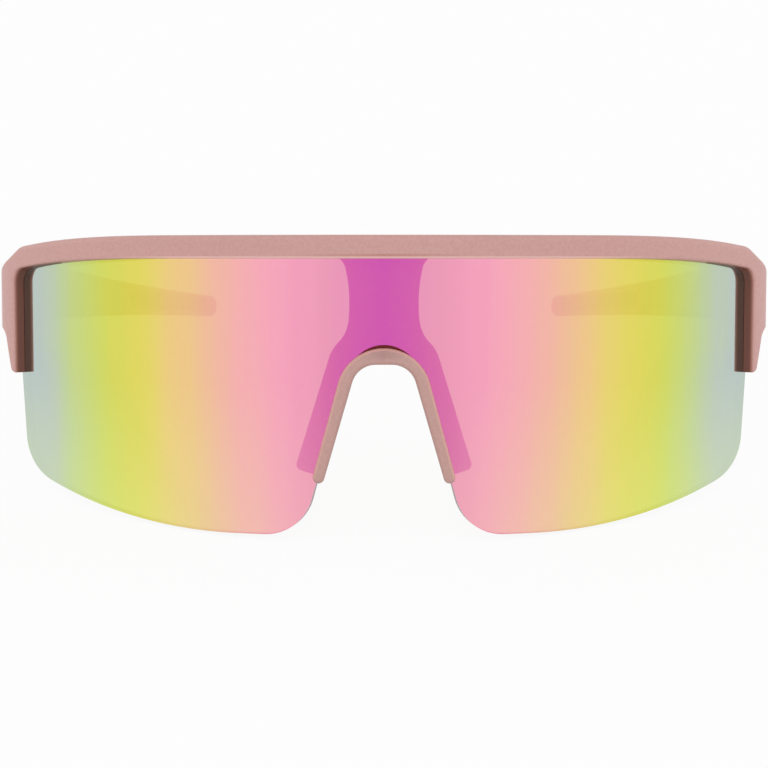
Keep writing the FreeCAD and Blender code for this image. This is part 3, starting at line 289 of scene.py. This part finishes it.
class Value:
    """An output socket of a finish, with arithmetic that adds Math nodes."""

    def __init__(self, finish, socket):
        self.finish = finish
        self.socket = socket

    def maths(self, operation, *others, first=None):
        """A Math node on this value and others, or on another first value and this one."""
        terms = [self, *others] if first is None else [first, self]
        return self.finish.node("ShaderNodeMath", {"operation": operation}, dict(enumerate(terms)))

    def other(self, output):
        """Another output of the same node."""
        return Value(self.finish, self.socket.node.outputs[output])

    def __add__(self, other):
        return self.maths("ADD", other)

    def __radd__(self, other):
        return self.maths("ADD", other)

    def __sub__(self, other):
        return self.maths("SUBTRACT", other)

    def __rsub__(self, other):
        return self.maths("SUBTRACT", first=other)

    def __mul__(self, other):
        return self.maths("MULTIPLY", other)

    def __rmul__(self, other):
        return self.maths("MULTIPLY", other)

    def __truediv__(self, other):
        return self.maths("DIVIDE", other)

    def __pow__(self, other):
        return self.maths("POWER", other)

    def __gt__(self, other):
        return self.maths("GREATER_THAN", other)

    def __lt__(self, other):
        return self.maths("LESS_THAN", other)

    def __abs__(self):
        return self.maths("ABSOLUTE")


class Finish:
    """The node tree of a material, or of a world, and the nodes that fill it."""

    def __init__(self, owner):
        self.owner = owner
        owner.use_nodes = True
        self.tree = owner.node_tree
        self.tree.nodes.clear()

    def node(self, kind, settings=None, inputs=None, output=0):
        """One node: its settings, with a ramp's stops as (place, colour), then its values and links."""
        made = self.tree.nodes.new(kind)
        for key, setting in (settings or {}).items():
            if key == "stops":
                self.stops(made.color_ramp, setting)
            else:
                setattr(made, key, setting)
        for key, given in (inputs or {}).items():
            if isinstance(given, Value):
                self.tree.links.new(given.socket, made.inputs[key])
            else:
                made.inputs[key].default_value = given
        return None if output is None else Value(self, made.outputs[output])

    @staticmethod
    def stops(ramp, stops):
        """Give a ramp its stops, in order."""
        ramp.interpolation = "EASE" if len(stops) == 2 else "CARDINAL"
        while len(ramp.elements) < len(stops):
            ramp.elements.new(1.0)
        for element, (place, shade) in zip(ramp.elements, stops):
            element.position = place
            element.color = (*shade, 1.0)

    def design(self):
        """Place on the object in millimetres, upright on the lens."""
        where = self.node("ShaderNodeTexCoord", output="Object")
        return self.node("ShaderNodeMapping", {"vector_type": "TEXTURE"}, {
            "Vector": where, "Location": SHIFT, "Rotation": (-LEAN, 0, 0), "Scale": (MM, MM, MM),
        })

    def axes(self, place):
        """How far a place lies across, back and up."""
        across = self.node("ShaderNodeSeparateXYZ", None, {"Vector": place})
        return across, across.other("Y"), across.other("Z")

    def noise(self, where, scale, detail=2.0, roughness=0.5):
        """Soft random values about one half."""
        return self.node("ShaderNodeTexNoise", None,
                         {"Vector": where, "Scale": scale, "Detail": detail, "Roughness": roughness})

    def mix(self, share, first, second):
        """A colour between two colours."""
        return self.node("ShaderNodeMix", {"data_type": "RGBA"}, {0: share, 6: first, 7: second},
                         output=2)

    def close(self, surface, kind="ShaderNodeOutputMaterial"):
        """Send a shader to the output of the tree."""
        self.node(kind, None, {"Surface": surface}, output=None)
        return self.owner


def material(name):
    """An empty finish on a new material."""
    return Finish(bpy.data.materials.new(name))


def solid(shade):
    """A colour property as the four numbers of a colour socket."""
    return (*shade, 1.0)


def darker(shade, share):
    """A colour with only a share of its light."""
    return [part * share for part in shade]


def dress(paint, *names):
    """Put one material on CAD nodes."""
    for name in names:
        node = frame["nodes"][name]
        for slot in node.material_slots:
            slot.material = paint


def both_sides(*names):
    """The left and right node of each name."""
    return [f"{name}_{side}" for name in names for side in ("left", "right")]


def look():
    """The settings that the sidebar shows."""
    return bpy.context.scene.sunglasses_look


def between(share):
    """A share held between none and all."""
    return share.maths("MAXIMUM", 0.0).maths("MINIMUM", 1.0)


def fade(value, end, span):
    """All up to a span before the end, then less and less, and none from the end on."""
    return between((end - value) / span)


def lens_reach(across, depth):
    """How far a place lies from the upright axis round which the lens is bent."""
    return (across * across + (depth - LENS_RADIUS) * (depth - LENS_RADIUS)) ** 0.5


def bead_reach(aside, height):
    """How far a place lies from the spine of the bead: round its arch above, square to its leg below."""
    above = height - ARCH_HEIGHT
    on_arch = above > aside * math.tan(BEAD_ANGLE)
    round_arch = (aside * aside + above * above) ** 0.5
    along_leg = aside * math.cos(BEAD_ANGLE) + above * math.sin(BEAD_ANGLE)
    return on_arch * round_arch + (1 - on_arch) * along_leg


def mirror_lens_finish():
    """A mirror coat on a tinted sheet: pink over the nose, through gold and lime to silver edges."""
    tints = look().lens
    finish = material("mirror_lens")
    place = finish.design()
    across, depth, height = finish.axes(place)
    aside = abs(across)
    reach = lens_reach(across, depth)
    front = reach > LENS_RADIUS - FACE_SKIN * LENS_THICKNESS
    back = reach < LENS_RADIUS - (1 - FACE_SKIN) * LENS_THICKNESS
    edge = 1 - front - back
    streak_place = finish.node("ShaderNodeCombineXYZ", None, {
        "X": across * STREAK_ACROSS, "Y": 0.0, "Z": height * STREAK_UP,
    })
    streaks = finish.noise(streak_place, 1.0, 3.0) - 0.5
    low = fade(height, LOW_HEIGHT, LOW_FADE)
    spread = aside + low * LOW_SHIFT * (aside / LOW_REACH) ** 3 + streaks * STREAK_SHIFT
    stops = [(share, getattr(tints, name)) for name, share in COAT_PLACES.items()]
    coat = finish.node("ShaderNodeValToRGB", {"stops": stops}, {"Fac": spread / HALF_WIDTH})
    below = (GLARE_HEIGHT - height).maths("MAXIMUM", 0.0)
    glaring = below * GLARE_RATE * between(aside / GLARE_REACH)
    paled = finish.mix(glaring, coat, solid(tints.glare))
    # Painted shadow: a dark line on the lens just above the bead's crown
    bead_shadow_reach = BEAD_REACH + BEAD_SHADOW_WIDTH * (1 - across * across / BEAD_SHADOW_SQUARE)
    seam = (bead_reach(aside, height) < bead_shadow_reach) * (height > BEAD_SHADOW_FOOT)
    bead_shadowed = finish.mix(seam, paled, solid(tints.seam))
    rimmed = finish.mix(edge, bead_shadowed, solid(tints.rim))
    smear = finish.noise(place, SMEAR_SCALE, 4.0, 0.6)
    mirror = finish.node("ShaderNodeBsdfPrincipled", None, {
        "Base Color": finish.mix(back, rimmed, BACK_SILVER), "Metallic": 1 - edge,
        "Roughness": 0.02 + smear * 0.05 + edge * 0.25,
    })
    clear = finish.node("ShaderNodeBsdfTransparent", None, {"Color": solid(tints.sheet)})
    at_nose = fade(aside, NOSE_FADE, NOSE_FADE)
    at_eye = fade(aside, EYE_END, EYE_FADE)
    passing = front * (PASS_LEAST + at_eye * PASS_EYE + at_nose * PASS_NOSE) + back * PASS_BACK
    return finish.close(finish.node("ShaderNodeMixShader", None, {0: passing, 1: mirror, 2: clear}))


def brow_painted_light(finish, place, tone):
    """Painted light on the brow: painted shade on the walls beside the lens, and a painted highlight on the edge
    and a painted shadow under the bar.
    """
    tints = look().shell
    across, depth, height = finish.axes(place)
    aside = abs(across)
    ahead = lens_reach(aside, depth) - LENS_RADIUS
    past = (depth - DROOP_START).maths("MAXIMUM", 0.0)
    droop = DROOP_RADIUS - (DROOP_RADIUS ** 2 - past * past) ** 0.5
    above_lip = height + droop - BAR_BOTTOM
    # Painted shade on the lip walls beside the lens, darkest nearest the lens
    past_wall = aside - (LENS_RADIUS - depth) * math.tan(WINDOW_ANGLE)
    in_window = fade(past_wall, WALL_END, WALL_FADE) * (above_lip < WALL_TOP) * (aside > WALL_ASIDE)
    before_lens = (ahead > WALL_BACK) * fade(ahead, WALL_FRONT, DEPTH_FADE)
    painted_shade = finish.mix(fade(ahead, DEEP_SHADE_FRONT, DEPTH_FADE), solid(tints.painted_shade), solid(tints.gap))
    recess_shaded = finish.mix(in_window * before_lens, tone, painted_shade)
    # Painted highlight on the lower edge of the bar, then a painted shadow just above it
    outer = ahead > LIP_FRONT
    edge = outer * (above_lip > LIP_LOW) * (above_lip < LIP_TOP) * fade(aside, LIP_END, LIP_FADE)
    over_edge = outer * (above_lip > LIP_TOP) * (above_lip < SHADOW_TOP)
    shadow = over_edge * fade(aside, SHADOW_FADE, SHADOW_FADE)
    shaded = finish.mix(shadow * SHADOW_SHARE, recess_shaded, solid(tints.painted_shade))
    return finish.mix(edge * LIP_HIGHLIGHT_SHARE, shaded, solid(tints.pale))


def bead_painted_light(finish, place, tone):
    """Painted light on the bead: a painted highlight on its edge along the lens and painted shade on its crown."""
    tints = look().shell
    across, depth, height = finish.axes(place)
    aside = abs(across)
    before = lens_reach(aside, depth) > LENS_RADIUS
    # Painted shade on the upper crown of the bead
    crown = between((height - ARCH_HEIGHT - CROWN_RISE) / CROWN_BLEND) * fade(aside, CROWN_FADE, CROWN_FADE)
    shaded = finish.mix(before * crown * CROWN_SHARE, tone, solid(tints.crown))
    # Painted highlight along the bead's outer edge
    edge = bead_reach(aside, height) > BEAD_REACH - RIM_WIDTH
    return finish.mix(before * edge * RIM_HIGHLIGHT_SHARE, shaded, solid(tints.rim))


def rose_finish(name, shade, deep, painted_light=None):
    """Satin moulded nylon with fine flecks and a fine grain."""
    sizes = look().shell
    finish = material(name)
    place = finish.design()
    fleck = finish.noise(place, MM / sizes.fleck, 3.0, 0.6)
    cloud = finish.noise(place, CLOUD_SCALE)
    grain = finish.noise(place, MM / sizes.grain)
    stops = [(0.36, (1, 1, 1)), (0.6, (0, 0, 0))]
    flecked = finish.node("ShaderNodeValToRGB", {"stops": stops}, {"Fac": fleck})
    tone = finish.mix(flecked * FLECK_SHARE + cloud * CLOUD_SHARE, solid(shade), solid(deep))
    # Painted light and shade, where given, go over the moulding's colour
    if painted_light:
        tone = painted_light(finish, place, tone)
    bump = finish.node("ShaderNodeBump", None, {"Strength": 0.12, "Distance": 0.00004, "Height": grain})
    surface = finish.node("ShaderNodeBsdfPrincipled", None, {
        "Base Color": tone, "Roughness": 0.4 + grain * 0.18, "Normal": bump, "IOR": 1.5,
        "Coat Weight": 0.08, "Coat Roughness": 0.35,
    })
    return finish.close(surface)


def steel_finish(name, shade, lines_per_mm):
    """Satin steel with fine drawn lines."""
    finish = material(name)
    stretched = finish.node("ShaderNodeMapping", None, {"Vector": finish.design(), "Scale": lines_per_mm})
    lines = finish.noise(stretched, 1.0, 3.0)
    bump = finish.node("ShaderNodeBump", None, {"Strength": 0.15, "Distance": 0.00002, "Height": lines})
    tone = finish.mix(lines, solid(shade), solid(darker(shade, STEEL_DARK)))
    surface = finish.node("ShaderNodeBsdfPrincipled", None, {
        "Base Color": tone, "Metallic": 1.0, "Roughness": 0.22 + lines * 0.16, "Normal": bump,
    })
    return finish.close(surface)


def soft_finish(name, shade):
    """Matt rubber or nylon with a fine moulded skin."""
    finish = material(name)
    place = finish.design()
    skin = finish.noise(place, SKIN_SCALE, 3.0)
    cloud = finish.noise(place, SOFT_CLOUD_SCALE)
    bump = finish.node("ShaderNodeBump", None, {"Strength": 0.2, "Distance": 0.00005, "Height": skin})
    tone = finish.mix(cloud, solid(shade), solid(darker(shade, SOFT_DARK)))
    surface = finish.node("ShaderNodeBsdfPrincipled", None, {
        "Base Color": tone, "Roughness": 0.6 + skin * 0.15, "Normal": bump, "IOR": 1.43,
    })
    return finish.close(surface)


class SUNGLASSES_OT_lens(bpy.types.Operator):
    """Give the lens its mirror coat and tint"""
    bl_idname = "sunglasses.lens"
    bl_label = "Mirror lens"

    def execute(self, context):
        dress(mirror_lens_finish(), "shield_lens")
        return {"FINISHED"}


class SUNGLASSES_OT_mouldings(bpy.types.Operator):
    """Give the brow frame, the nose bridge and the temples their rose moulding"""
    bl_idname = "sunglasses.mouldings"
    bl_label = "Rose mouldings"

    def execute(self, context):
        tints = look().shell
        dress(rose_finish("brow_rose", tints.rose, tints.deep, brow_painted_light), "brow_frame")
        dress(rose_finish("temple_rose", tints.rose, tints.deep), *both_sides("temple"))
        dark = darker(tints.bridge, BRIDGE_DARK)
        dress(rose_finish("bridge_rose", tints.bridge, dark, bead_painted_light), "nose_bridge")
        return {"FINISHED"}


class SUNGLASSES_OT_hinges(bpy.types.Operator):
    """Give the hinge leaves and screws their steel and the washers their nylon"""
    bl_idname = "sunglasses.hinges"
    bl_label = "Hinges and screws"

    def execute(self, context):
        tints = look().metal
        leaves = both_sides("front_hinge", "temple_hinge")
        dress(steel_finish("hinge_steel", tints.steel, LEAF_LINES), *leaves)
        screws = both_sides("hinge_screw", "front_plate_screws", "temple_plate_screws")
        dress(steel_finish("screw_steel", tints.screw, SCREW_LINES), *screws)
        dress(soft_finish("washer_nylon", tints.nylon), *both_sides("hinge_washers"))
        return {"FINISHED"}


def start(add, **settings):
    """A new primitive alone in edit mode, with all of it selected."""
    bpy.ops.object.select_all(action="DESELECT")
    add(**settings)
    bpy.ops.object.mode_set(mode="EDIT")
    bpy.ops.mesh.select_all(action="SELECT")
    return bpy.context.object


def pick_faces(piece, chosen):
    """Select the faces that a rule picks by their centre and normal, and go back to edit mode."""
    bpy.ops.mesh.select_mode(type="FACE")
    bpy.ops.mesh.select_all(action="DESELECT")
    bpy.ops.object.mode_set(mode="OBJECT")
    for face in piece.data.polygons:
        face.select = chosen(face.center, face.normal)
    bpy.ops.object.mode_set(mode="EDIT")


def apply_modifier(piece, kind, **settings):
    """Add one modifier with its settings and apply it."""
    modifier = piece.modifiers.new(kind.title(), kind)
    for key, setting in settings.items():
        setattr(modifier, key, setting)
    bpy.ops.object.modifier_apply(modifier=modifier.name)


def settle(piece, name, paint, node, body):
    """Name a finished piece, close its normals, paint it and let it stand for a soft solid."""
    bpy.ops.object.mode_set(mode="EDIT")
    bpy.ops.mesh.select_all(action="SELECT")
    bpy.ops.mesh.normals_make_consistent(inside=False)
    bpy.ops.object.mode_set(mode="OBJECT")
    bpy.ops.object.shade_smooth_by_angle(angle=SMOOTH_ANGLE)
    piece.name = name
    piece.data.name = name
    piece.data.materials.clear()
    piece.data.materials.append(paint)
    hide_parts(node)
    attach(piece, body)


class SUNGLASSES_OT_nose_pads(bpy.types.Operator):
    """Model the two soft nose pads on their flanges"""
    bl_idname = "sunglasses.nose_pads"
    bl_label = "Nose pads"

    def execute(self, context):
        soft = look().soft
        paint = soft_finish("pad_rubber", soft.pad)
        for name, side in (("left", 1), ("right", -1)):
            pad = self.model(soft)
            pad.matrix_world = STAND @ self.seat(side)
            bpy.ops.object.transform_apply(location=True, rotation=True, scale=True)
            settle(pad, f"soft_nose_pad_{name}", paint, f"nose_pad_{name}", "front")
        return {"FINISHED"}

    def model(self, soft):
        """One pad in millimetres, flat on its back: a drafted wall, a lip, a groove and a crowned face."""
        width = soft.pad_width / MM
        crown = soft.pad_crown / MM
        tall = (PAD_HEAD - PAD_FOOT) / math.cos(LEG_ANGLE)
        pad = start(bpy.ops.mesh.primitive_circle_add, vertices=PAD_SIDES, radius=0.5, fill_type="NGON")
        rise = 0.0
        reach = 1.0
        for height, share in PAD_RINGS:
            bpy.ops.mesh.extrude_region_move(TRANSFORM_OT_translate={"value": (0.0, 0.0, height - rise)})
            bpy.ops.transform.resize(value=(share / reach, share / reach, 1.0),
                                     center_override=(0.0, 0.0, height))
            rise = height
            reach = share
        bpy.ops.mesh.select_all(action="SELECT")
        bpy.ops.transform.resize(value=(tall, width, crown), center_override=(0.0, 0.0, 0.0))
        bpy.ops.mesh.normals_make_consistent(inside=False)
        bpy.ops.object.mode_set(mode="OBJECT")
        apply_modifier(pad, "SUBSURF", levels=2, render_levels=2)
        return pad

    def seat(self, side):
        """Place of a pad on its flange: up the leg, back along the splay and out towards the nose."""
        up = Vector((-math.sin(LEG_ANGLE), 0.0, math.cos(LEG_ANGLE)))
        back = Vector((math.sin(FLANGE_SPLAY), math.cos(FLANGE_SPLAY), 0.0))
        out = up.cross(back).normalized()
        back = out.cross(up)
        middle = (PAD_FOOT + PAD_HEAD) / 2
        leg = LEG_REACH / math.cos(LEG_ANGLE) + (ARCH_HEIGHT - middle) * math.tan(LEG_ANGLE)
        root = Vector((leg + FLANGE_OUT, FLANGE_ROOT, middle))
        axes = [up, back * side, out, root + back * FLANGE_MIDDLE + out * PAD_LIFT]
        columns = [Vector((axis.x * side, axis.y, axis.z)).to_4d() for axis in axes]
        for column in columns[:3]:
            column.w = 0.0
        return Matrix(columns).transposed()


class SUNGLASSES_OT_ear_grips(bpy.types.Operator):
    """Model the ribbed soft grips that are let into the temples"""
    bl_idname = "sunglasses.ear_grips"
    bl_label = "Ear grips"

    def execute(self, context):
        soft = look().soft
        paint = soft_finish("grip_rubber", soft.grip)
        for name, side in (("left", 1), ("right", -1)):
            grip = self.model(soft)
            for vertex in grip.data.vertices:
                vertex.co = STAND @ self.on_temple(vertex.co, side)
            body = f"temple_arm_{name}"
            settle(grip, f"soft_ear_grip_{name}", paint, f"ear_grip_{name}", body)
        return {"FINISHED"}

    def model(self, soft):
        """One straight grip in millimetres: a strip with round corners and raised ribs across its face."""
        width = soft.grip_width / MM
        deep = soft.grip_depth / MM
        proud = soft.grip_proud / MM
        long = (GRIP_HEAD - GRIP_FOOT).length - GRIP_SLACK
        base = proud * GRIP_BASE
        grip = start(bpy.ops.mesh.primitive_cube_add, size=1.0)
        bpy.ops.transform.resize(value=(long, width, deep + base), center_override=(0.0, 0.0, 0.0))
        bpy.ops.transform.translate(value=(0.0, 0.0, (base - deep) / 2))
        self.round_corners(grip, GRIP_ROUND * width)
        pitch = (long - 2 * width) / (2 * soft.ribs - 1)
        first = -long / 2 + width
        for line in range(2 * soft.ribs):
            bpy.ops.mesh.select_all(action="SELECT")
            bpy.ops.mesh.bisect(plane_co=(first + line * pitch, 0.0, 0.0), plane_no=(1.0, 0.0, 0.0))
        pick_faces(grip, lambda centre, normal: normal.z > FACING_OUT and first < centre.x < -first
                   and int((centre.x - first) / pitch) % 2 == 0)
        bpy.ops.mesh.inset(thickness=RIB_INSET, use_individual=True)
        bpy.ops.transform.translate(value=(0.0, 0.0, proud - base))
        bpy.ops.object.mode_set(mode="OBJECT")
        return grip

    def round_corners(self, grip, radius):
        """Round the four upright corners of the strip."""
        bpy.ops.mesh.select_mode(type="EDGE")
        bpy.ops.mesh.select_all(action="DESELECT")
        bpy.ops.object.mode_set(mode="OBJECT")
        corners = grip.data.vertices
        for edge in grip.data.edges:
            first, last = (corners[index].co for index in edge.vertices)
            edge.select = abs(first.z - last.z) > UPRIGHT_RISE
        bpy.ops.object.mode_set(mode="EDIT")
        bpy.ops.mesh.bevel(offset=radius, segments=CORNER_STEPS, affect="EDGES")

    def on_temple(self, point, side):
        """A point of the straight grip laid on the bowed and sloping inner face of a temple."""
        middle = (GRIP_FOOT + GRIP_HEAD) / 2
        way = math.asin((middle.y - BOW_CENTRE.y) / TEMPLE_BOW) + point.x / TEMPLE_BOW
        reach = TEMPLE_BOW - point.z
        y = BOW_CENTRE.y + reach * math.sin(way)
        share = (y - GRIP_FOOT.y) / (GRIP_HEAD.y - GRIP_FOOT.y)
        z = GRIP_FOOT.z + share * (GRIP_HEAD.z - GRIP_FOOT.z) + point.y
        return Vector((side * (BOW_CENTRE.x + reach * math.cos(way)), y, z))


class SUNGLASSES_OT_stage(bpy.types.Operator):
    """Add the pale floor, the soft light and the camera ahead of the lens"""
    bl_idname = "sunglasses.stage"
    bl_label = "Studio"

    def execute(self, context):
        studio = look().studio
        self.floor(studio)
        self.surroundings(studio)
        self.lamps(studio)
        self.camera(studio)
        context.scene.view_settings.view_transform = "Standard"
        return {"FINISHED"}

    def seen(self, finish):
        """One for rays that show the surroundings as they are: to the camera, in a gloss, through glass."""
        camera = finish.node("ShaderNodeLightPath", output="Is Camera Ray")
        shown = camera.maths("MAXIMUM", camera.other("Is Glossy Ray"))
        return shown.maths("MAXIMUM", camera.other("Is Transmission Ray"))

    def floor(self, studio):
        """A wide plane under the glasses that shows as white and keeps their shadow."""
        bpy.ops.object.select_all(action="DESELECT")
        bpy.ops.mesh.primitive_plane_add(size=FLOOR_SIZE, location=(0, 0, -FLOOR_DROP))
        plane = bpy.context.object
        plane.name = "studio_floor"
        bpy.ops.object.transform_apply(location=True, rotation=True, scale=True)
        finish = material("pale_floor")
        matt = finish.node("ShaderNodeBsdfDiffuse", None, {"Color": FLOOR_GREY})
        glow = finish.node("ShaderNodeEmission", None, {"Color": WHITE, "Strength": 1.0})
        share = self.seen(finish) * studio.floor_glow
        mixed = finish.node("ShaderNodeMixShader", None, {0: share, 1: matt, 2: glow})
        plane.data.materials.append(finish.close(mixed))

    def surroundings(self, studio):
        """White where it is seen or mirrored, and an even ambient light on matt surfaces."""
        world = bpy.data.worlds.new("studio_world")
        bpy.context.scene.world = world
        finish = Finish(world)
        ambient = finish.node("ShaderNodeBackground", None, {"Color": WHITE, "Strength": studio.ambient})
        white = finish.node("ShaderNodeBackground", None, {"Color": WHITE, "Strength": 1.0})
        mixed = finish.node("ShaderNodeMixShader", None, {0: self.seen(finish), 1: ambient, 2: white})
        finish.close(mixed, "ShaderNodeOutputWorld")

    def lamps(self, studio):
        """A wide soft lamp ahead and above, and one at each side."""
        for name, strength, tilt, turn in (
            ("key_lamp", studio.key, KEY_TILT, 0.0),
            ("left_lamp", studio.sides, SIDE_TILT, SIDE_TURN),
            ("right_lamp", studio.sides, SIDE_TILT, -SIDE_TURN),
        ):
            lamp = bpy.data.lights.new(name, "SUN")
            lamp.energy = strength
            lamp.angle = LAMP_SPREAD
            holder = bpy.data.objects.new(name, lamp)
            holder.rotation_euler = (math.radians(tilt), 0.0, math.radians(turn))
            holder.visible_glossy = False
            bpy.context.scene.collection.objects.link(holder)

    def camera(self, studio):
        """The photograph's view: a little above the middle of the lens, looking down at it."""
        eye = bpy.data.cameras.new("front_camera")
        eye.sensor_width = SENSOR_WIDTH
        eye.lens = studio.focal
        eye.clip_start = CLIP_START
        holder = bpy.data.objects.new("front_camera", eye)
        away = Vector((0.0, -math.cos(studio.pitch), math.sin(studio.pitch))) * studio.distance / MM
        holder.location = STAND @ (Vector((0.0, 0.0, studio.aim / MM)) + away)
        holder.rotation_euler = (math.pi / 2 - LEAN - studio.pitch, 0.0, 0.0)
        bpy.context.scene.collection.objects.link(holder)
        bpy.context.scene.camera = holder


class SUNGLASSES_PT_steps(bpy.types.Panel):
    """The steps in order"""
    bl_idname = "SUNGLASSES_PT_steps"
    bl_label = "Shield sunglasses"
    bl_space_type = "VIEW_3D"
    bl_region_type = "UI"
    bl_category = "Sunglasses"

    def draw(self, context):
        for step in STEPS:
            self.layout.operator(step.bl_idname)


STEPS = (
    SUNGLASSES_OT_lens,
    SUNGLASSES_OT_mouldings,
    SUNGLASSES_OT_hinges,
    SUNGLASSES_OT_nose_pads,
    SUNGLASSES_OT_ear_grips,
    SUNGLASSES_OT_stage,
)
LOOKS = (LensLook, ShellLook, SoftLook, MetalLook, StudioLook, SunglassesLook)
CLASSES = (*LOOKS, *STEPS, SUNGLASSES_PT_steps)


def register():
    for kind in CLASSES:
        bpy.utils.register_class(kind)
    bpy.types.Scene.sunglasses_look = PointerProperty(type=SunglassesLook)


def unregister():
    del bpy.types.Scene.sunglasses_look
    for kind in reversed(CLASSES):
        bpy.utils.unregister_class(kind)


def main():
    register()
    bpy.ops.sunglasses.lens()
    bpy.ops.sunglasses.mouldings()
    bpy.ops.sunglasses.hinges()
    bpy.ops.sunglasses.nose_pads()
    bpy.ops.sunglasses.ear_grips()
    bpy.ops.sunglasses.stage()


if __name__ == "__main__":
    main()
